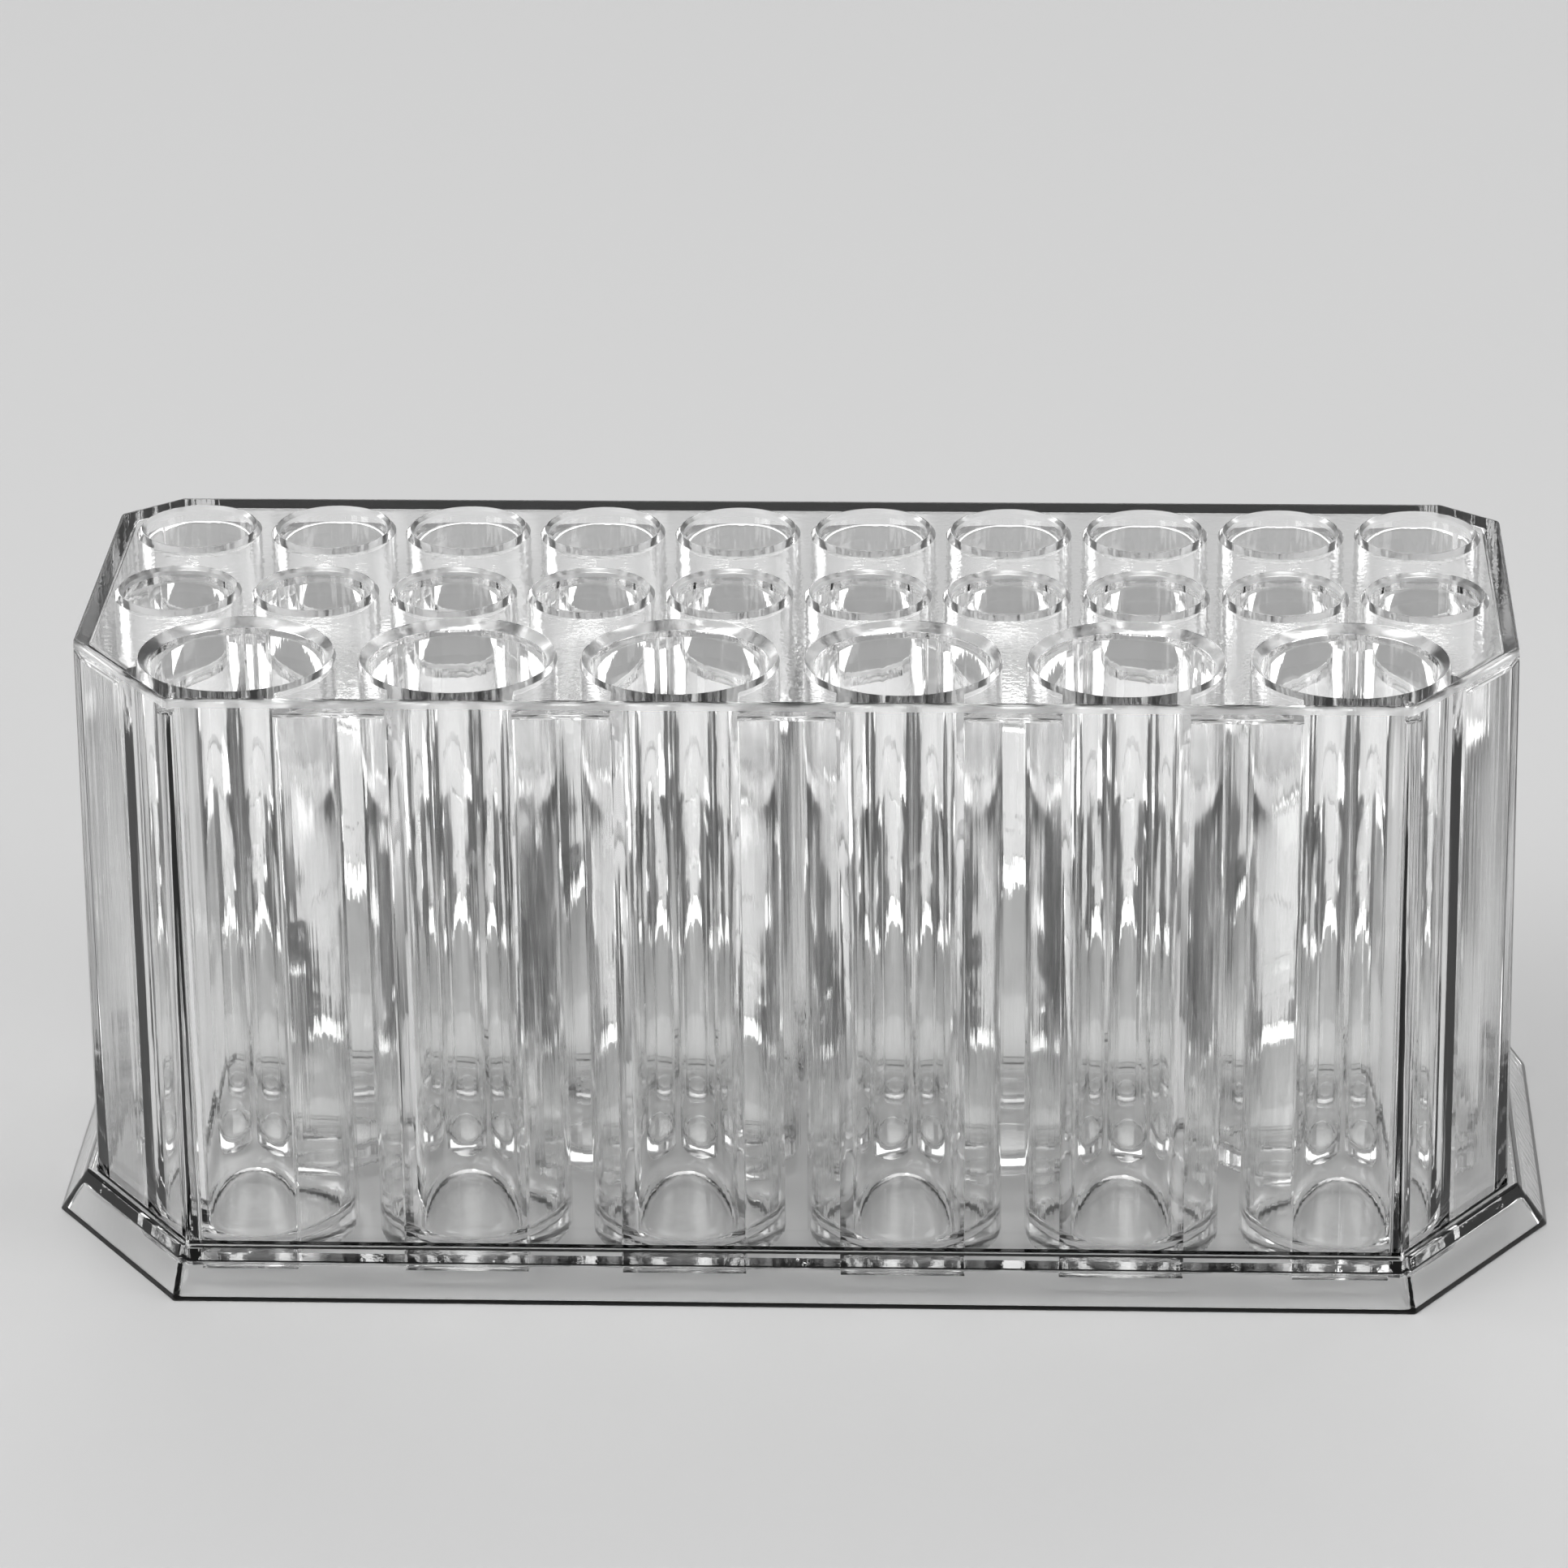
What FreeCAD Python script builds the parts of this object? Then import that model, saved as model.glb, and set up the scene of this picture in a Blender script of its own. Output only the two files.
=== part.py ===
import FreeCAD, Part
import os
import Sketcher

# Clear countertop holder for make-up brushes, pencils and lipsticks: an octagonal top plate with one row of
# wide mouths and two rows of narrow ones, a closed round cell under every mouth, an octagonal wall sleeve
# and a flared base ring. Millimetres, Z up, front towards -Y, standing on Z = 0, centred on X and Y.

LARGE_COUNT = 6
SMALL_COUNT = 10

# Steps from the middle of a row to its last cell.
LARGE_STEPS = (LARGE_COUNT - 1) / 2
SMALL_STEPS = (SMALL_COUNT - 1) / 2

DRIVERS = (
    ("height", 88.0, "table to the top face of the plate"),
    ("plate_thickness", 2.5, "top plate"),
    ("wall_thickness", 2.0, "wall sleeve at its upper edge"),
    ("wall_draft", 1.0, "how far the sleeve leans out over its height, each side"),
    ("large_bore", 24.0, "width of a wide well at the plate"),
    ("small_bore", 15.3, "width of a narrow well at the plate"),
    ("large_wall", 1.5, "wall of a wide cell"),
    ("small_wall", 1.2, "wall of a narrow cell"),
    ("large_lead", 1.2, "bevel round a wide mouth"),
    ("large_gap", 2.9, "air between two wide cells, at least"),
    ("small_gap", 1.45, "air between two narrow cells, at least"),
    ("front_gap", 0.65, "from the round of a wide cell to the front wall"),
    ("row_gap", 1.45, "air between the wide row and the middle row"),
    ("back_row_gap", 5.6, "air between the two narrow rows"),
    ("back_gap", 0.4, "from the back cells to the back wall"),
    ("end_gap", 1.0, "from the last narrow cell to the end wall"),
    ("large_end_room", 7.4, "from the last wide cell to the end wall"),
    ("corner_gap", 0.3, "from a cell to the corner wall beside it"),
    ("front_corner_angle", 36.0, "degrees, from the X axis to the normal of a front corner"),
    ("back_corner_angle", 51.8, "degrees, from the X axis to the normal of a back corner"),
    ("seat_depth", 1.0, "how far a cell sinks into the underside of the plate"),
    ("fit", 0.15, "play round a piece in its seat"),
    ("land_width", 17.0, "flat of a wide cell that is bonded to the front wall"),
    ("corner_land_width", 11.0, "flat of an end cell that is bonded to the corner wall"),
    ("land_drop", 2.0, "from the underside of the plate to the top of the flats"),
    ("cell_base", 2.0, "underside of the cells above the table"),
    ("floor_thickness", 2.2, "closed end of a cell"),
    ("ring_height", 7.6, "height of the base ring"),
    ("sleeve_seat", 1.2, "how deep the sleeve stands in the base ring"),
    ("ledge_thickness", 1.8, "ledge that the sleeve stands on"),
    ("rim_width", 1.2, "flat rim of the base ring round the sleeve"),
    ("lip_relief", 0.4, "how far the ledge stops short of the inside of the sleeve"),
    ("foot_wall", 1.8, "wall of the flare, measured level"),
    ("flare_end", 7.0, "how far the foot stands out past the top at the ends"),
    ("flare_side", 5.0, "how far the foot stands out past the top at front and back"),
    ("flare_front_corner", 4.9, "how far the foot stands out past the top at the front corners"),
    ("flare_back_corner", 8.0, "how far the foot stands out past the top at the back corners"),
    ("edge_bevel", 0.5, "bevel round the upper edge of the plate"),
)

DERIVED = (
    ("large_outer", "large_bore / 2 + large_wall"),
    ("small_outer", "small_bore / 2 + small_wall"),
    ("large_need", "(2 * large_outer + large_gap) * %g + large_outer + large_end_room" % LARGE_STEPS),
    ("small_need", "(2 * small_outer + small_gap) * %g + small_outer + end_gap" % SMALL_STEPS),
    ("inside_half", "max(large_need; small_need)"),
    ("large_end", "inside_half - large_end_room - large_outer"),
    ("small_end", "inside_half - end_gap - small_outer"),
    ("large_pitch", "large_end / %g" % LARGE_STEPS),
    ("small_pitch", "small_end / %g" % SMALL_STEPS),
    ("inner_depth", "front_gap + 2 * large_outer + row_gap + 4 * small_outer + back_row_gap + back_gap"),
    ("large_row", "inner_depth / 2 - front_gap - large_outer"),
    ("middle_row", "large_outer + row_gap + small_outer - large_row"),
    ("back_row", "middle_row + 2 * small_outer + back_row_gap"),
    ("top_half_length", "inside_half + wall_thickness"),
    ("top_front", "inner_depth / 2 + wall_thickness"),
    ("top_back", "top_front"),
    ("front_cos", "cos(front_corner_angle * 1deg)"),
    ("front_sin", "sin(front_corner_angle * 1deg)"),
    ("back_cos", "cos(back_corner_angle * 1deg)"),
    ("back_sin", "sin(back_corner_angle * 1deg)"),
    ("front_reach", "max(front_cos * large_end + front_sin * large_row + large_outer;"
                    " front_cos * small_end - front_sin * middle_row + small_outer) + corner_gap + wall_thickness"),
    ("back_reach", "back_cos * small_end + back_sin * back_row + small_outer + corner_gap + wall_thickness"),
    ("top_front_x", "(front_reach - front_sin * top_front) / front_cos"),
    ("top_side_front", "(front_reach - front_cos * top_half_length) / front_sin"),
    ("top_back_x", "(back_reach - back_sin * top_back) / back_cos"),
    ("top_side_back", "(back_reach - back_cos * top_half_length) / back_sin"),
    ("corner_seat", "front_reach - wall_thickness - front_cos * large_end - front_sin * large_row"),
    ("front_seat", "large_outer + front_gap"),
    ("plate_under", "height - plate_thickness"),
    ("ledge_height", "ring_height - sleeve_seat"),
    ("vault_height", "ledge_height - ledge_thickness"),
    ("cell_top", "plate_under + seat_depth"),
    ("well_floor", "cell_base + floor_thickness"),
    ("land_top", "plate_under - land_drop"),
    ("front_x_gain", "(1 - front_sin) / front_cos"),
    ("side_front_gain", "(1 - front_cos) / front_sin"),
    ("back_x_gain", "(1 - back_sin) / back_cos"),
    ("side_back_gain", "(1 - back_cos) / back_sin"),
    ("foot_half_length", "top_half_length + flare_end"),
    ("foot_front", "top_front + flare_side"),
    ("foot_back", "top_back + flare_side"),
    ("foot_front_x", "top_front_x + (flare_front_corner - front_sin * flare_side) / front_cos"),
    ("foot_side_front", "top_side_front + (flare_front_corner - front_cos * flare_end) / front_sin"),
    ("foot_back_x", "top_back_x + (flare_back_corner - back_sin * flare_side) / back_cos"),
    ("foot_side_back", "top_side_back + (flare_back_corner - back_cos * flare_end) / back_sin"),
)

# Outlines that run parallel to another one, with how far they lie outside it.
OFFSETS = (
    ("inner", "top", "-wall_thickness"),
    ("skirt", "top", "wall_draft"),
    ("seat", "top", "wall_draft + fit"),
    ("rim", "top", "wall_draft + fit + rim_width"),
    ("lip", "top", "lip_relief - wall_thickness"),
    ("hollow", "foot", "-foot_wall"),
)
CORNER_GAINS = (
    ("half_length", "1"),
    ("front", "1"),
    ("back", "1"),
    ("front_x", "front_x_gain"),
    ("side_front", "side_front_gain"),
    ("back_x", "back_x_gain"),
    ("side_back", "side_back_gain"),
)

# Flats of the end cells, kept inside the flat part of the wall that they are bonded to.
FITTED = (
    ("end_land_width", "min(land_width; 2 * (inner_front_x - large_end - fit))"),
    ("corner_land_front", "front_cos * (inner_front - large_row) - front_sin * (inner_front_x - large_end)"),
    ("corner_land_side", "front_sin * (inner_half_length - large_end) + front_cos * (large_row - inner_side_front)"),
    ("corner_land_fit", "min(corner_land_width; 2 * (min(corner_land_front; corner_land_side) - fit))"),
)
OCTAGON = (
    (-1, "front_x", -1, "front"),
    (1, "front_x", -1, "front"),
    (1, "half_length", -1, "side_front"),
    (1, "half_length", 1, "side_back"),
    (1, "back_x", 1, "back"),
    (-1, "back_x", 1, "back"),
    (-1, "half_length", 1, "side_back"),
    (-1, "half_length", -1, "side_front"),
)

doc = FreeCAD.newDocument("BrushHolder")
sizes = doc.addObject("Spreadsheet::Sheet", "Sizes")


def fill_sheet():
    rows = [(name, "%g" % value, note) for name, value, note in DRIVERS]
    rows += [(name, "=" + formula, "derived") for name, formula in DERIVED]
    for outline, parent, offset in OFFSETS:
        for corner, gain in CORNER_GAINS:
            formula = "=%s_%s + (%s) * %s" % (parent, corner, offset, gain)
            rows.append(("%s_%s" % (outline, corner), formula, "derived"))
    for corner, _gain in CORNER_GAINS:
        formula = "=hollow_%s + (rim_%s - foot_%s) * vault_height / ring_height" % (corner, corner, corner)
        rows.append(("vault_" + corner, formula, "derived"))
    rows += [(name, "=" + formula, "derived") for name, formula in FITTED]
    for row, (name, content, note) in enumerate(rows, start=1):
        sizes.set("A%d" % row, note)
        sizes.set("B%d" % row, content)
        sizes.setAlias("B%d" % row, name)
    doc.recompute()


def size(formula):
    """Value of a sum of sheet cells, used only to draw a sketch near its constrained shape."""
    total = 0.0
    for term in formula.replace("-", "+-").split("+"):
        term = term.strip()
        if term:
            sign = -1 if term.startswith("-") else 1
            total += sign * float(sizes.get(term.lstrip("- ")))
    return total


def bound(formula):
    """The same sum written as an expression on the sheet."""
    return " ".join(word if word in "+-" else "Sizes." + word for word in formula.split())


def new_body(label):
    body = doc.addObject("PartDesign::Body", label)
    body.Label = label
    return body


def new_sketch(body, role, name, level=None, turn=None):
    sketch = body.newObject("Sketcher::SketchObject", name)
    plane = next(feature for feature in body.Origin.OriginFeatures if feature.Role == role)
    sketch.AttachmentSupport = [(plane, "")]
    sketch.MapMode = "FlatFace"
    if level:
        sketch.setExpression("AttachmentOffset.Base.z", bound(level))
    if turn:
        sketch.setExpression("AttachmentOffset.Rotation.Angle", turn)
    doc.recompute()
    return sketch


def fix_distance(sketch, kind, geometry, point, sign, formula):
    """Hold one coordinate of a point; the point on the negative side is measured back to the origin."""
    ends = (-1, 1, geometry, point) if sign > 0 else (geometry, point, -1, 1)
    index = sketch.addConstraint(Sketcher.Constraint(kind, *ends, size(formula)))
    sketch.setExpression("Constraints[%d]" % index, bound(formula))


def polygon(sketch, points):
    """Closed outline; each point is (sign, x formula or None for the axis, sign, y formula)."""
    places = [FreeCAD.Vector(sx * size(x) if x else 0, sy * size(y) if y else 0, 0) for sx, x, sy, y in points]
    count = len(points)
    for number in range(count):
        sketch.addGeometry(Part.LineSegment(places[number], places[(number + 1) % count]), False)
    for number in range(count):
        sketch.addConstraint(Sketcher.Constraint("Coincident", number, 2, (number + 1) % count, 1))
    for number, (sx, x, sy, y) in enumerate(points):
        if x:
            fix_distance(sketch, "DistanceX", number, 1, sx, x)
        else:
            sketch.addConstraint(Sketcher.Constraint("PointOnObject", number, 1, -2))
        if y:
            fix_distance(sketch, "DistanceY", number, 1, sy, y)
        else:
            sketch.addConstraint(Sketcher.Constraint("PointOnObject", number, 1, -1))
    doc.recompute()


def octagon_sketch(body, outline, name, level):
    sketch = new_sketch(body, "XY_Plane", name, level)
    corners = [(sx, "%s_%s" % (outline, x), sy, "%s_%s" % (outline, y)) for sx, x, sy, y in OCTAGON]
    polygon(sketch, corners)
    return sketch


def pocket(body, sketch, name, depth=None, upward=False):
    cut = body.newObject("PartDesign::Pocket", name)
    cut.Profile = sketch
    cut.Reversed = upward
    if depth:
        cut.setExpression("Length", bound(depth))
    else:
        cut.Type = "ThroughAll"
    doc.recompute()
    return cut


def pad(body, sketch, name, length):
    block = body.newObject("PartDesign::Pad", name)
    block.Profile = sketch
    block.setExpression("Length", bound(length))
    doc.recompute()
    return block


def loft(body, lower, upper, name, kind="PartDesign::AdditiveLoft"):
    skin = body.newObject(kind, name)
    skin.Profile = lower
    skin.Sections = [upper]
    skin.Ruled = True
    doc.recompute()
    return skin


def mouth_rows():
    """Name, count, pitch cell, row cell and the side of the centre line for each row of mouths."""
    return (
        ("large", LARGE_COUNT, "large_pitch", "large_row", -1),
        ("middle", SMALL_COUNT, "small_pitch", "middle_row", 1),
        ("back", SMALL_COUNT, "small_pitch", "back_row", 1),
    )


def hole_sketch(body, name, level, radius):
    """One circle per mouth of the row that the name starts with."""
    row, count, pitch, depth, side = next(entry for entry in mouth_rows() if name.startswith(entry[0]))
    sketch = new_sketch(body, "XY_Plane", name, level)
    reach = float(sizes.get(pitch))
    for number in range(count):
        step = number - (count - 1) / 2
        centre = FreeCAD.Vector(step * reach, side * size(depth), 0)
        circle = Part.Circle(centre, FreeCAD.Vector(0, 0, 1), float(sizes.get(row_bore(row))) / 2)
        sketch.addGeometry(circle, False)
        ends = (-1, 1, number, 3) if step > 0 else (number, 3, -1, 1)
        across = sketch.addConstraint(Sketcher.Constraint("DistanceX", *ends, abs(step) * reach))
        sketch.setExpression("Constraints[%d]" % across, "Sizes.%s * %g" % (pitch, abs(step)))
        fix_distance(sketch, "DistanceY", number, 3, side, depth)
        round_size = sketch.addConstraint(Sketcher.Constraint("Radius", number, circle.Radius))
        sketch.setExpression("Constraints[%d]" % round_size, radius)
    doc.recompute()
    return sketch


def row_bore(row):
    return "large_bore" if row == "large" else "small_bore"


def bevel(body, name, edges, length):
    base = body.Tip
    cut = body.newObject("PartDesign::Chamfer", name)
    cut.Base = (base, edges)
    cut.setExpression("Size", bound(length))
    doc.recompute()
    return cut


def edges_at(shape, level, radius=None):
    """Names of the edges that lie flat at a level: circles of one radius, or straight edges."""
    found = []
    for number, edge in enumerate(shape.Edges, start=1):
        heights = [vertex.Point.z for vertex in edge.Vertexes]
        if any(abs(z - level) > 1e-4 for z in heights):
            continue
        round_edge = isinstance(edge.Curve, Part.Circle)
        if radius is None and not round_edge:
            found.append("Edge%d" % number)
        elif radius is not None and round_edge and abs(edge.Curve.Radius - radius) < 1e-4:
            found.append("Edge%d" % number)
    return found


def build_plate():
    body = new_body("top_plate")
    pad(body, octagon_sketch(body, "top", "plate_outline", "plate_under"), "plate_block", "plate_thickness")
    for row, _count, _pitch, _depth, _side in mouth_rows():
        kind = "large" if row == "large" else "small"
        mouths = hole_sketch(body, row + "_mouths", "height", "Sizes.%s / 2" % row_bore(row))
        pocket(body, mouths, row + "_holes")
        seats = hole_sketch(body, row + "_seat_rings", "plate_under", "Sizes.%s_outer + Sizes.fit" % kind)
        pocket(body, seats, row + "_seats", "seat_depth", upward=True)
    top = size("height")
    bevel(body, "large_leads", edges_at(body.Shape, top, size("large_bore") / 2), "large_lead")
    bevel(body, "edge_line", edges_at(body.Shape, top), "edge_bevel")
    return body


def build_sleeve():
    body = new_body("wall_sleeve")
    lower = octagon_sketch(body, "skirt", "lower_outline", "ledge_height")
    upper = octagon_sketch(body, "top", "upper_outline", "plate_under")
    loft(body, lower, upper, "wall_block")
    pocket(body, octagon_sketch(body, "inner", "inner_outline", "plate_under"), "wall_hollow")
    return body


def build_ring():
    body = new_body("base_ring")
    lower = octagon_sketch(body, "foot", "foot_outline", None)
    upper = octagon_sketch(body, "rim", "rim_outline", "ring_height")
    loft(body, lower, upper, "ring_block")
    seat = octagon_sketch(body, "seat", "seat_outline", "ring_height")
    pocket(body, seat, "sleeve_seat", "ring_height - ledge_height")
    pocket(body, octagon_sketch(body, "lip", "lip_outline", "ring_height"), "ring_hollow")
    under = octagon_sketch(body, "hollow", "hollow_outline", None)
    vault = octagon_sketch(body, "vault", "vault_outline", "vault_height")
    loft(body, under, vault, "flare_hollow", "PartDesign::SubtractiveLoft")
    return body


def land(body, name, width, reach, turn):
    """Flat-faced rib from the axis of a cell out to a wall, drawn along the sketch's own X axis."""
    sketch = new_sketch(body, "XY_Plane", name + "_outline", "cell_base", turn)
    half = float(sizes.get(width)) / 2
    far = float(sizes.get(reach))
    corners = [FreeCAD.Vector(x, y, 0) for x, y in ((0, -half), (far, -half), (far, half), (0, half))]
    for number in range(4):
        sketch.addGeometry(Part.LineSegment(corners[number], corners[(number + 1) % 4]), False)
    for number in range(4):
        sketch.addConstraint(Sketcher.Constraint("Coincident", number, 2, (number + 1) % 4, 1))
    sketch.addConstraint(Sketcher.Constraint("Horizontal", 0))
    sketch.addConstraint(Sketcher.Constraint("Horizontal", 2))
    sketch.addConstraint(Sketcher.Constraint("Vertical", 1))
    sketch.addConstraint(Sketcher.Constraint("PointOnObject", 3, 1, -2))
    sketch.addConstraint(Sketcher.Constraint("Symmetric", 3, 1, 3, 2, -1))
    along = sketch.addConstraint(Sketcher.Constraint("DistanceX", 0, 1, 0, 2, far))
    sketch.setExpression("Constraints[%d]" % along, bound(reach))
    across = sketch.addConstraint(Sketcher.Constraint("DistanceY", 1, 1, 1, 2, 2 * half))
    sketch.setExpression("Constraints[%d]" % across, bound(width))
    pad(body, sketch, name, "land_top - cell_base")


def revolve(body, kind, name, points):
    sketch = new_sketch(body, "XZ_Plane", name + "_profile")
    polygon(sketch, points)
    feature = body.newObject(kind, name)
    feature.Profile = sketch
    feature.ReferenceAxis = (sketch, ["V_Axis"])
    feature.Angle = 360
    doc.recompute()
    return feature


def build_cell(label, kind, along, row, side, lands):
    """Closed cup, standing on its own axis and then placed under its mouth."""
    body = new_body(label)
    revolve(body, "PartDesign::Revolution", "cup", (
        (1, None, 1, "cell_base"),
        (1, kind + "_outer", 1, "cell_base"),
        (1, kind + "_outer", 1, "cell_top"),
        (1, None, 1, "cell_top"),
    ))
    for name, width, reach, turn in lands:
        land(body, name, width, reach, turn)
    well = "%s_outer - %s_wall" % (kind, kind)
    revolve(body, "PartDesign::Groove", "well", (
        (1, None, 1, "well_floor"),
        (1, well, 1, "well_floor"),
        (1, well, 1, "cell_top"),
        (1, None, 1, "cell_top"),
    ))
    body.setExpression("Placement.Base.x", along)
    body.setExpression("Placement.Base.y", "%s%s" % ("-" if side < 0 else "", bound(row)))
    doc.recompute()
    return body


def build_cells():
    bodies = []
    for row, count, pitch, depth, side in mouth_rows():
        for number in range(count):
            lands = []
            if row == "large":
                width = "end_land_width" if number in (0, count - 1) else "land_width"
                lands.append(("front_land", width, "front_seat", "-90"))
                if number == 0:
                    lands.append(("corner_land", "corner_land_fit", "corner_seat", "180 + Sizes.front_corner_angle"))
                if number == count - 1:
                    lands.append(("corner_land", "corner_land_fit", "corner_seat", "-Sizes.front_corner_angle"))
            kind = "large" if row == "large" else "small"
            along = "Sizes.%s * %g" % (pitch, number - (count - 1) / 2)
            bodies.append(build_cell("%s_cell_%02d" % (row, number + 1), kind, along, depth, side, lands))
    return bodies


def check(bodies):
    for item in doc.Objects:
        if "Invalid" in item.State or "Error" in item.State:
            raise ValueError("not built: " + item.Label)
    for body in bodies:
        if body.Shape.isNull() or not body.Shape.isValid() or len(body.Shape.Solids) != 1:
            raise ValueError("not one valid solid: " + body.Label)


fill_sheet()
pieces = [build_plate(), build_sleeve(), build_ring()] + build_cells()
doc.recompute()
check(pieces)
os.makedirs("parts", exist_ok=True)
for piece in pieces:
    piece.Shape.exportStep("parts/%s.step" % piece.Label)
    print(piece.Label, round(piece.Shape.Volume, 1), piece.Shape.BoundBox)
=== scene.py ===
import math

import bmesh
import bpy
from mathutils import Matrix, Vector


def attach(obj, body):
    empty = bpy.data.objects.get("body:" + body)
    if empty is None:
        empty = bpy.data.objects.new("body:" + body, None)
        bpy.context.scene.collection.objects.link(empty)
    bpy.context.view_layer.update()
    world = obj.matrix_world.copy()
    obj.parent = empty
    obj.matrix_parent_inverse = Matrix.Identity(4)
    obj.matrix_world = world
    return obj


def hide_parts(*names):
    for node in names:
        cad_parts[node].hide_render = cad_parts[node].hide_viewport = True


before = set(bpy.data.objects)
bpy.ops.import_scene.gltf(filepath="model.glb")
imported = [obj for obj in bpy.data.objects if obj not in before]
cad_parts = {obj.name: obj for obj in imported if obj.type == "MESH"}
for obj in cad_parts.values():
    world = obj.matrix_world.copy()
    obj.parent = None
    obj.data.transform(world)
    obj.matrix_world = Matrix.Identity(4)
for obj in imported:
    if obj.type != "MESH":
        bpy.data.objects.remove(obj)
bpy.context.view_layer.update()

# Clear brush holder. Lengths are millimetres, as in the part's own sheet; meshes are made in metres.
MM = 0.001

# Plate and walls
HEIGHT = 88.0
PLATE = 2.5
WALL = 2.0
WALL_DRAFT = 1.0
FRONT_CORNER = math.radians(36.0)
BACK_CORNER = math.radians(51.8)

# Wells
LARGE_COUNT = 6
LARGE_BORE = 24.0
LARGE_WALL = 1.5
LARGE_LEAD = 1.2
LARGE_FLOOR_ROUND = 3.4
LARGE_STEPS = 128
SMALL_COUNT = 10
SMALL_BORE = 15.3
SMALL_WALL = 1.2
SMALL_LEAD = 0.5
SMALL_FLOOR_ROUND = 2.2
SMALL_STEPS = 88
MOUTH_BREAK = 0.15
LEAD_FOOT_SHARE = 0.25
SEAT_DEPTH = 1.0
CELL_BASE = 2.0
CELL_FLOOR = 2.2
CELL_ROUND = 1.0

# Room between the wells and to the walls
LARGE_END_ROOM = 7.4
SMALL_GAP = 1.45
FRONT_GAP = 0.65
ROW_GAP = 1.45
BACK_ROW_GAP = 5.6
BACK_GAP = 0.4
END_GAP = 1.0
CORNER_GAP = 0.3

# Flats that bond the wide cells to the front and corner walls
LAND_WIDTH = 17.0
CORNER_LAND_WIDTH = 11.0
LAND_RISE = 0.5
LAND_LIFT = 0.02
LAND_BITE = 0.6

# Foot
LEDGE = 6.4
VAULT = 4.6
RING_HEIGHT = 7.6
RIM = 1.2
FIT = 0.15
LIP_RELIEF = 0.4
FOOT_WALL = 1.8
FLARE_END = 7.0
FLARE_SIDE = 5.0
FLARE_FRONT_CORNER = 4.9
FLARE_BACK_CORNER = 8.0

# Edge rounds, how far a cutting shape runs past the face that it opens, and what counts as level in metres
WALL_ROUND = 0.6
RING_ROUND = 0.4
SEAT_ROUND = 0.3
ROUND_STEPS = 5
CUT_OVER = 2.0
FLARE_CUT_OVER = 0.5
SAME_HEIGHT = 1e-9

# Finish of the plastic
CLEAR = (0.995, 0.996, 0.995, 1.0)
REFRACTION = 1.49
POLISH = 0.005
HAZE = 0.05
HAZE_SCALE = 60.0
SATIN = 0.28
SATIN_MARGIN = 0.05
DRAG_SHARE = 0.45
DRAG_SCALE = 900.0
DRAG_STRETCH = 0.012
WAVE_SCALE = 45.0
RELIEF_STRENGTH = 0.1
RELIEF_DEPTH = 0.5

# Studio, in metres and watts
FLOOR_GREY = 0.62
FLOOR_ROUGHNESS = 0.6
FLOOR_HALF_WIDTH = 3.5
FLOOR_FRONT = -2.2
FLOOR_BACK = 1.6
SWEEP = 0.8
SWEEP_STEPS = 12
BACKDROP_TOP = 3.0
LAMP_AIM = Vector((0.0, 0.0, 0.05))
LAMPS = (
    ("key", Vector((-1.0, -0.7, 1.3)), (1.1, 1.1), 12),
    ("fill", Vector((1.4, -0.6, 0.8)), (0.7, 1.2), 6),
    ("back", Vector((0.2, 1.3, 1.1)), (1.8, 0.5), 6),
)
ROOM_LEVEL = 0.15
ROOM_RISE = 0.75

# Camera that took the photograph: its place in metres, its turn, and its focal length in photo pixels
EYE = Vector((0.0382, -0.8030, 0.4132))
TURN = math.radians(2.882)
RISE = math.radians(23.715)
ROLL = math.radians(-0.752)
FOCAL_PIXELS = 7760
PHOTO_PIXELS = 1932
SENSOR = 36
NEAREST = 0.05

# Light crosses up to twenty clear walls on its way through the holder, and lights the table under it.
CLEAR_BOUNCES = 28
GLOSSY_BOUNCES = 10

# Worked out from the sizes above
LARGE_OUTER = LARGE_BORE / 2 + LARGE_WALL
SMALL_OUTER = SMALL_BORE / 2 + SMALL_WALL
SMALL_PITCH = 2 * SMALL_OUTER + SMALL_GAP
SMALL_END = SMALL_PITCH * (SMALL_COUNT - 1) / 2
INSIDE_HALF = SMALL_END + SMALL_OUTER + END_GAP
LARGE_END = INSIDE_HALF - LARGE_END_ROOM - LARGE_OUTER
LARGE_PITCH = LARGE_END * 2 / (LARGE_COUNT - 1)
INNER_DEPTH = FRONT_GAP + 2 * LARGE_OUTER + ROW_GAP + 4 * SMALL_OUTER + BACK_ROW_GAP + BACK_GAP
LARGE_ROW = -(INNER_DEPTH / 2 - FRONT_GAP - LARGE_OUTER)
MIDDLE_ROW = LARGE_ROW + LARGE_OUTER + ROW_GAP + SMALL_OUTER
BACK_ROW = MIDDLE_ROW + 2 * SMALL_OUTER + BACK_ROW_GAP
HALF_LENGTH = INSIDE_HALF + WALL
HALF_DEPTH = INNER_DEPTH / 2 + WALL
PLATE_UNDER = HEIGHT - PLATE
CELL_TOP = PLATE_UNDER + SEAT_DEPTH
WELL_FLOOR = CELL_BASE + CELL_FLOOR
LARGE_CORNER_REACH = LARGE_OUTER + CORNER_GAP
SMALL_CORNER_REACH = SMALL_OUTER + CORNER_GAP


def corner_line(angle, along, across, reach):
    """Where a corner wall at this distance meets the long wall (its x) and the end wall (its y)."""
    line = math.cos(angle) * along + math.sin(angle) * across + reach
    return ((line - math.sin(angle) * HALF_DEPTH) / math.cos(angle),
            (line - math.cos(angle) * HALF_LENGTH) / math.sin(angle))


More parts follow.
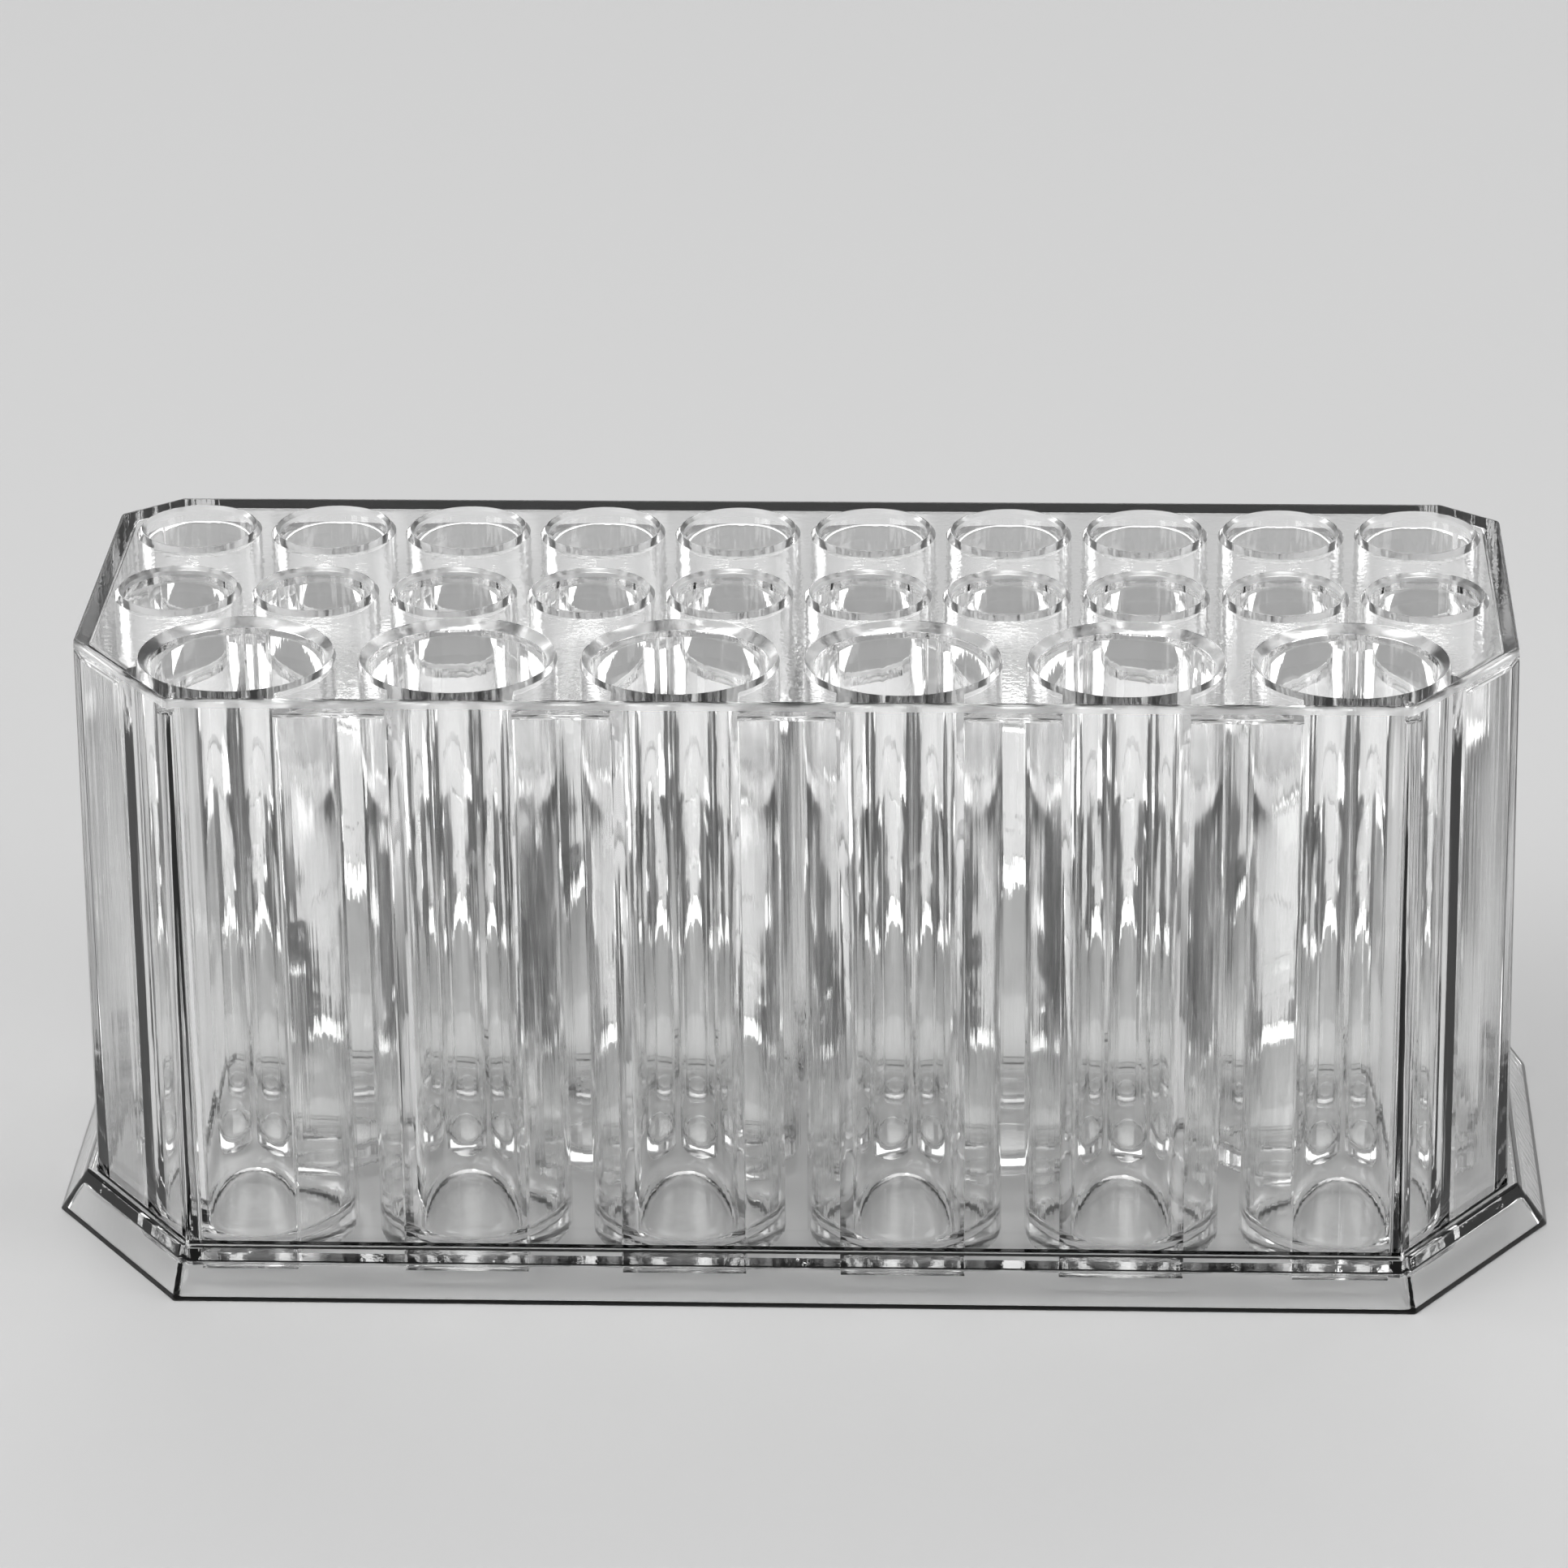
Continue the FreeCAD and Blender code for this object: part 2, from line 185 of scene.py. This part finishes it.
FRONT_X, SIDE_FRONT = corner_line(FRONT_CORNER, LARGE_END, -LARGE_ROW, LARGE_CORNER_REACH + WALL)
BACK_X, SIDE_BACK = corner_line(BACK_CORNER, SMALL_END, BACK_ROW, SMALL_CORNER_REACH + WALL)
INSIDE_FRONT_X = FRONT_X - WALL * (1 - math.sin(FRONT_CORNER)) / math.cos(FRONT_CORNER)


def outline(side, end=None, front_corner=None, back_corner=None):
    """Corners of the eight-sided plan, moved outwards from the top edge by a distance per kind of wall."""
    end = side if end is None else end
    front_corner = side if front_corner is None else front_corner
    back_corner = side if back_corner is None else back_corner

    def moved(angle, corner):
        return ((corner - math.sin(angle) * side) / math.cos(angle),
                (corner - math.cos(angle) * end) / math.sin(angle))

    front_dx, front_dy = moved(FRONT_CORNER, front_corner)
    back_dx, back_dy = moved(BACK_CORNER, back_corner)
    x, y = HALF_LENGTH + end, HALF_DEPTH + side
    front_x, side_front = FRONT_X + front_dx, SIDE_FRONT + front_dy
    back_x, side_back = BACK_X + back_dx, SIDE_BACK + back_dy
    return [(-front_x, -y), (front_x, -y), (x, -side_front), (x, side_back),
            (back_x, y), (-back_x, y), (-x, side_back), (-x, -side_front)]


def flare(height, inset=0.0):
    """Outline of the foot's sloping wall at a height, or of a line that lies inside it."""
    rim = WALL_DRAFT + FIT + RIM
    share = height / RING_HEIGHT
    return outline(*(foot + (rim - foot) * share - inset
                     for foot in (FLARE_SIDE, FLARE_END, FLARE_FRONT_CORNER, FLARE_BACK_CORNER)))


def finish_mesh(name, shape):
    """Makes an object of a shape, with its faces pointing outwards."""
    bmesh.ops.recalc_face_normals(shape, faces=shape.faces)
    mesh = bpy.data.meshes.new(name)
    shape.to_mesh(mesh)
    shape.free()
    piece = bpy.data.objects.new(name, mesh)
    bpy.context.scene.collection.objects.link(piece)
    return piece


def walled(name, low, high, radius=0.0, chosen=None):
    """Closed block from one (height, outline) to another; chosen picks the edges that are rounded."""
    shape = bmesh.new()
    lower, upper = ([shape.verts.new((x * MM, y * MM, z * MM)) for x, y in plan]
                    for z, plan in (low, high))
    for i in range(len(lower)):
        j = (i + 1) % len(lower)
        shape.faces.new((lower[i], lower[j], upper[j], upper[i]))
    shape.faces.new(list(reversed(lower)))
    shape.faces.new(upper)
    if chosen:
        edges = [edge for edge in shape.edges if chosen(edge)]
        made = bmesh.ops.bevel(shape, geom=edges, offset=radius * MM, segments=ROUND_STEPS, profile=0.5,
                               affect="EDGES", clamp_overlap=True)
        for face in made["faces"]:
            face.smooth = True
    return finish_mesh(name, shape)


def level(edge):
    return abs(edge.verts[0].co.z - edge.verts[1].co.z) < SAME_HEIGHT


def every_edge(_edge):
    return True


def upright(edge):
    return not level(edge)


def upright_or_top(edge):
    """Leaves out a block's lower edges, which end a wall or lie outside the piece that is cut."""
    lowest = min(vertex.co.z for face in edge.link_faces for vertex in face.verts)
    return upright(edge) or edge.verts[0].co.z > lowest


def rounded(points, radii):
    """Profile with its corners rounded: points are (radius, height), radii holds corner number to round."""
    path = []
    for number, point in enumerate(points):
        here = Vector(point)
        if number not in radii:
            path.append(here)
            continue
        before = (Vector(points[number - 1]) - here).normalized()
        after = (Vector(points[number + 1]) - here).normalized()
        half = before.angle(after) / 2
        run = radii[number] / math.tan(half)
        centre = here + (before + after).normalized() * (radii[number] / math.sin(half))
        start, stop = here + before * run - centre, here + after * run - centre
        sweep = start.angle_signed(stop)
        for step in range(ROUND_STEPS + 1):
            turn = Matrix.Rotation(-sweep * step / ROUND_STEPS, 2)
            path.append(centre + turn @ start)
    return path


def turned(name, points, radii, steps):
    """Solid of revolution about Z from a profile that starts and ends on the axis."""
    shape = bmesh.new()
    angles = [2 * math.pi * step / steps for step in range(steps)]
    rings = []
    for radius, height in rounded(points, radii):
        around = angles if radius else angles[:1]
        rings.append([shape.verts.new((radius * MM * math.cos(a), radius * MM * math.sin(a), height * MM))
                      for a in around])
    for lower, upper in zip(rings, rings[1:]):
        for i in range(steps):
            j = (i + 1) % steps
            corners = [lower[i % len(lower)], lower[j % len(lower)],
                       upper[j % len(upper)], upper[i % len(upper)]]
            face = shape.faces.new(list(dict.fromkeys(corners)))
            face.smooth = not all(level(edge) for edge in face.edges)
    return finish_mesh(name, shape)


def baked(piece):
    """Turns what the modifiers make into the piece's own mesh."""
    bpy.context.view_layer.update()
    graph = bpy.context.evaluated_depsgraph_get()
    mesh = bpy.data.meshes.new_from_object(piece.evaluated_get(graph))
    old = piece.data
    piece.modifiers.clear()
    piece.data = mesh
    bpy.data.meshes.remove(old)
    return piece


def combine(piece, operation, tools):
    """Adds or cuts the tools, then drops them."""
    for tool in tools:
        step = piece.modifiers.new(operation.lower(), "BOOLEAN")
        step.operation = operation
        step.solver = "MANIFOLD"
        step.object = tool
    baked(piece)
    for tool in tools:
        bpy.data.objects.remove(tool)
    return piece


class Wire:
    """A node socket that takes part in sums, and from which further nodes are added to its tree."""

    def __init__(self, tree, socket=None):
        self.tree = tree
        self.socket = socket

    def node(self, kind, settings=None, inputs=None, output=0):
        """Adds one node with its settings and its socket values or links, and gives one of its outputs."""
        node = self.tree.nodes.new(kind)
        for name, value in (settings or {}).items():
            setattr(node, name, value)
        for name, value in (inputs or {}).items():
            if isinstance(value, Wire):
                self.tree.links.new(value.socket, node.inputs[name])
            else:
                node.inputs[name].default_value = value
        return Wire(self.tree, node.outputs[output] if node.outputs else None)

    def maths(self, operation, *values):
        return self.node("ShaderNodeMath", {"operation": operation}, dict(enumerate(values)))

    def __add__(self, other):
        return self.maths("ADD", self, other)

    def __radd__(self, other):
        return self.maths("ADD", other, self)

    def __sub__(self, other):
        return self.maths("SUBTRACT", self, other)

    def __rsub__(self, other):
        return self.maths("SUBTRACT", other, self)

    def __mul__(self, other):
        return self.maths("MULTIPLY", self, other)

    def __rmul__(self, other):
        return self.maths("MULTIPLY", other, self)


def row_tree():
    """Node tree that repeats the piece it is given along a row, centred on X."""
    tree = bpy.data.node_groups.new("cell_row", "GeometryNodeTree")
    asked = (("Cell", "NodeSocketGeometry"), ("Count", "NodeSocketInt"), ("Pitch", "NodeSocketFloat"),
             ("Row", "NodeSocketFloat"), ("Finish", "NodeSocketMaterial"))
    for label, kind in asked:
        tree.interface.new_socket(label, in_out="INPUT", socket_type=kind)
    tree.interface.new_socket("Cells", in_out="OUTPUT", socket_type="NodeSocketGeometry")
    root = Wire(tree)
    given = {label: root.node("NodeGroupInput", output=label) for label, _kind in asked}
    line = root.node("GeometryNodeMeshLine", {"mode": "OFFSET"}, {
        "Count": given["Count"],
        "Start Location": root.node("ShaderNodeCombineXYZ", inputs={
            "X": (1 - given["Count"]) * given["Pitch"] * 0.5, "Y": given["Row"]}),
        "Offset": root.node("ShaderNodeCombineXYZ", inputs={"X": given["Pitch"]}),
    })
    copies = root.node("GeometryNodeInstanceOnPoints", inputs={"Points": line, "Instance": given["Cell"]})
    cells = root.node("GeometryNodeRealizeInstances", inputs={"Geometry": copies})
    coated = root.node("GeometryNodeSetMaterial", inputs={"Geometry": cells, "Material": given["Finish"]})
    root.node("NodeGroupOutput", inputs={"Cells": coated})
    return tree


def in_row(cell, tree, count, pitch, row, finish):
    """Repeats a cell along its row, as one mesh."""
    repeat = cell.modifiers.new("row", "NODES")
    repeat.node_group = tree
    values = {"Count": count, "Pitch": pitch * MM, "Row": row * MM, "Finish": finish}
    for item in tree.interface.items_tree:
        if item.in_out == "INPUT" and item.name in values:
            repeat[item.identifier] = values[item.name]
    return baked(cell)


def clear_acrylic():
    """Polished see-through plastic: handling haze, drag lines along the mould's pull, satin plate edges."""
    material = bpy.data.materials.new("clear_acrylic")
    material.use_nodes = True
    material.node_tree.nodes.clear()
    root = Wire(material.node_tree)
    place = root.node("ShaderNodeTexCoord", output="Object")
    haze = root.node("ShaderNodeTexNoise", inputs={
        "Vector": place, "Scale": HAZE_SCALE, "Detail": 4.0, "Roughness": 0.6})
    pull = root.node("ShaderNodeMapping", inputs={"Vector": place, "Scale": (1.0, 1.0, DRAG_STRETCH)})
    drag = root.node("ShaderNodeTexNoise", inputs={"Vector": pull, "Scale": DRAG_SCALE, "Detail": 3.0})
    wave = root.node("ShaderNodeTexNoise", inputs={"Vector": pull, "Scale": WAVE_SCALE, "Detail": 1.0})
    relief = root.node("ShaderNodeBump", inputs={
        "Height": drag * DRAG_SHARE + wave, "Strength": RELIEF_STRENGTH, "Distance": RELIEF_DEPTH * MM})
    height = root.node("ShaderNodeSeparateXYZ", inputs={"Vector": place}, output="Z")
    half_band = LARGE_LEAD / 2
    plate_edge = root.maths("COMPARE", height, (HEIGHT - half_band) * MM, (half_band - SATIN_MARGIN) * MM)
    shader = root.node("ShaderNodeBsdfPrincipled", inputs={
        "Base Color": CLEAR,
        "Roughness": haze * HAZE + plate_edge * SATIN + POLISH,
        "IOR": REFRACTION,
        "Transmission Weight": 1.0,
        "Normal": relief,
    })
    root.node("ShaderNodeOutputMaterial", inputs={"Surface": shader})
    return material


def cell_row(kind, bore, wall, lead, floor_round, steps, count, pitch, row, tree, finish):
    """One row of closed cups, and the row of wells that is cut into them and through the plate."""
    radius = bore / 2
    outer = radius + wall
    mouth = radius + lead
    above = HEIGHT + CUT_OVER
    cup = turned(kind + "_cup", [
        (0, CELL_BASE), (outer, CELL_BASE), (outer, CELL_TOP), (0, CELL_TOP),
    ], {1: CELL_ROUND}, steps)
    well = turned(kind + "_well", [
        (0, WELL_FLOOR), (radius, WELL_FLOOR), (radius, HEIGHT - lead), (mouth, HEIGHT),
        (mouth + MOUTH_BREAK, HEIGHT), (mouth + MOUTH_BREAK, above), (0, above),
    ], {1: floor_round, 2: lead * LEAD_FOOT_SHARE, 3: MOUTH_BREAK}, steps)
    return [in_row(piece, tree, count, pitch, row, finish) for piece in (cup, well)]


def land(name, x, width, reach, turn):
    """Flat-faced rib from the axis of a wide cell into a wall."""
    run = Vector((math.cos(turn), math.sin(turn))) * (reach + LAND_BITE)
    side = Vector((-math.sin(turn), math.cos(turn))) * (width / 2)
    centre = Vector((x, LARGE_ROW))
    plan = [centre - side, centre - side + run, centre + side + run, centre + side]
    return walled(name, (CELL_BASE + LAND_LIFT, plan), (PLATE_UNDER + LAND_RISE, plan))


def all_lands():
    """A rib to the front wall from each wide cell, and one to the corner wall from each end cell."""
    lands = []
    end_width = min(LAND_WIDTH, 2 * (INSIDE_FRONT_X - LARGE_END - FIT))
    for number in range(LARGE_COUNT):
        x = (number - (LARGE_COUNT - 1) / 2) * LARGE_PITCH
        width = end_width if number in (0, LARGE_COUNT - 1) else LAND_WIDTH
        lands.append(land("land_%d" % number, x, width, LARGE_OUTER + FRONT_GAP, -math.pi / 2))
    for name, x, turn in (("left_land", -LARGE_END, math.pi + FRONT_CORNER),
                          ("right_land", LARGE_END, -FRONT_CORNER)):
        lands.append(land(name, x, CORNER_LAND_WIDTH, LARGE_CORNER_REACH, turn))
    return lands


def holder_body(finish):
    """Plate, sleeve and cells as one clear body: their bonded faces can't be seen."""
    body = walled("clear_body", (LEDGE, outline(WALL_DRAFT)), (HEIGHT, outline(0)),
                  WALL_ROUND, upright_or_top)
    inside = walled("inside", (LEDGE - CUT_OVER, outline(-WALL)), (PLATE_UNDER, outline(-WALL)),
                    WALL_ROUND, upright_or_top)
    tree = row_tree()
    large = ("large", LARGE_BORE, LARGE_WALL, LARGE_LEAD, LARGE_FLOOR_ROUND, LARGE_STEPS,
             LARGE_COUNT, LARGE_PITCH)
    small = ("small", SMALL_BORE, SMALL_WALL, SMALL_LEAD, SMALL_FLOOR_ROUND, SMALL_STEPS,
             SMALL_COUNT, SMALL_PITCH)
    rows = [cell_row(*kind, row, tree, finish)
            for kind, row in ((large, LARGE_ROW), (small, MIDDLE_ROW), (small, BACK_ROW))]
    combine(body, "DIFFERENCE", [inside])
    combine(body, "UNION", [cups for cups, _wells in rows] + all_lands())
    return combine(body, "DIFFERENCE", [wells for _cups, wells in rows])


def base_ring():
    """Flared foot with a flat rim, a ledge inside for the sleeve, and a hollow underside."""
    ring = walled("base_ring_clear", (0, flare(0)), (RING_HEIGHT, flare(RING_HEIGHT)),
                  RING_ROUND, every_edge)
    above = RING_HEIGHT + CUT_OVER
    seat_plan = outline(WALL_DRAFT + FIT)
    seat = walled("seat", (LEDGE, seat_plan), (above, seat_plan), SEAT_ROUND, upright)
    lip_plan = outline(LIP_RELIEF - WALL)
    lip = walled("lip", (-CUT_OVER, lip_plan), (above, lip_plan), SEAT_ROUND, upright)
    hollow = walled("flare_hollow", (-FLARE_CUT_OVER, flare(-FLARE_CUT_OVER, FOOT_WALL)),
                    (VAULT, flare(VAULT, FOOT_WALL)), WALL_ROUND, upright_or_top)
    return combine(ring, "DIFFERENCE", [seat, lip, hollow])


def dress(piece, finish, nodes):
    """Gives a piece its finish, and tells the frame which solids it stands for."""
    piece.data.materials.clear()
    piece.data.materials.append(finish)
    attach(piece, "root")
    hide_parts(*nodes)


def backdrop():
    """Pale floor that sweeps up behind."""
    profile = [(FLOOR_FRONT, 0.0), (FLOOR_BACK, 0.0)]
    for step in range(1, SWEEP_STEPS + 1):
        angle = math.pi / 2 * step / SWEEP_STEPS
        profile.append((FLOOR_BACK + SWEEP * math.sin(angle), SWEEP - SWEEP * math.cos(angle)))
    profile.append((FLOOR_BACK + SWEEP, BACKDROP_TOP))
    shape = bmesh.new()
    left, right = ([shape.verts.new((x, y, z)) for y, z in profile]
                   for x in (-FLOOR_HALF_WIDTH, FLOOR_HALF_WIDTH))
    for i in range(len(profile) - 1):
        face = shape.faces.new((left[i], right[i], right[i + 1], left[i + 1]))
        face.smooth = True
    floor = finish_mesh("floor", shape)
    material = bpy.data.materials.new("pale_floor")
    material.use_nodes = True
    shader = material.node_tree.nodes["Principled BSDF"]
    shader.inputs["Base Color"].default_value = (FLOOR_GREY, FLOOR_GREY, FLOOR_GREY, 1)
    shader.inputs["Roughness"].default_value = FLOOR_ROUGHNESS
    floor.data.materials.append(material)


def soft_boxes():
    for name, place, size, power in LAMPS:
        lamp = bpy.data.lights.new(name, "AREA")
        lamp.shape = "RECTANGLE"
        lamp.size, lamp.size_y = size
        lamp.energy = power
        box = bpy.data.objects.new(name, lamp)
        box.location = place
        box.rotation_euler = (LAMP_AIM - place).to_track_quat("-Z", "Y").to_euler()
        bpy.context.scene.collection.objects.link(box)


def room():
    """White room that is brighter overhead."""
    world = bpy.data.worlds.new("room")
    world.use_nodes = True
    world.node_tree.nodes.clear()
    root = Wire(world.node_tree)
    aim = root.node("ShaderNodeTexCoord", output="Generated")
    height = root.node("ShaderNodeSeparateXYZ", inputs={"Vector": aim}, output="Z")
    light = root.maths("MAXIMUM", height * ROOM_RISE + ROOM_LEVEL, 0.0)
    white = root.node("ShaderNodeBackground", inputs={"Color": (1.0, 1.0, 1.0, 1.0), "Strength": light})
    root.node("ShaderNodeOutputWorld", inputs={"Surface": white})
    bpy.context.scene.world = world


def camera():
    """Long lens at the photograph's height and turn."""
    back = Vector((math.sin(TURN) * math.cos(RISE), -math.cos(TURN) * math.cos(RISE), math.sin(RISE)))
    right = (-back).cross(Vector((0, 0, 1))).normalized()
    up = right.cross(-back)
    leaned_right = right * math.cos(ROLL) + up * math.sin(ROLL)
    leaned_up = up * math.cos(ROLL) - right * math.sin(ROLL)
    lens = bpy.data.cameras.new("camera")
    lens.sensor_width = SENSOR
    lens.lens = SENSOR * FOCAL_PIXELS / PHOTO_PIXELS
    lens.clip_start = NEAREST
    view = bpy.data.objects.new("camera", lens)
    axes = Matrix((leaned_right, leaned_up, back)).transposed()
    view.matrix_world = Matrix.Translation(EYE) @ axes.to_4x4()
    bpy.context.scene.collection.objects.link(view)
    bpy.context.scene.camera = view


scene = bpy.context.scene
scene.view_settings.view_transform = "Standard"
scene.cycles.max_bounces = CLEAR_BOUNCES
scene.cycles.transmission_bounces = CLEAR_BOUNCES
scene.cycles.glossy_bounces = GLOSSY_BOUNCES
# Without this, the light that reaches the table through the clear walls is lost.
scene.cycles.blur_glossy = 0.0
plastic = clear_acrylic()
body_nodes = [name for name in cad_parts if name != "base_ring"]
dress(holder_body(plastic), plastic, body_nodes)
dress(base_ring(), plastic, ["base_ring"])
backdrop()
soft_boxes()
room()
camera()
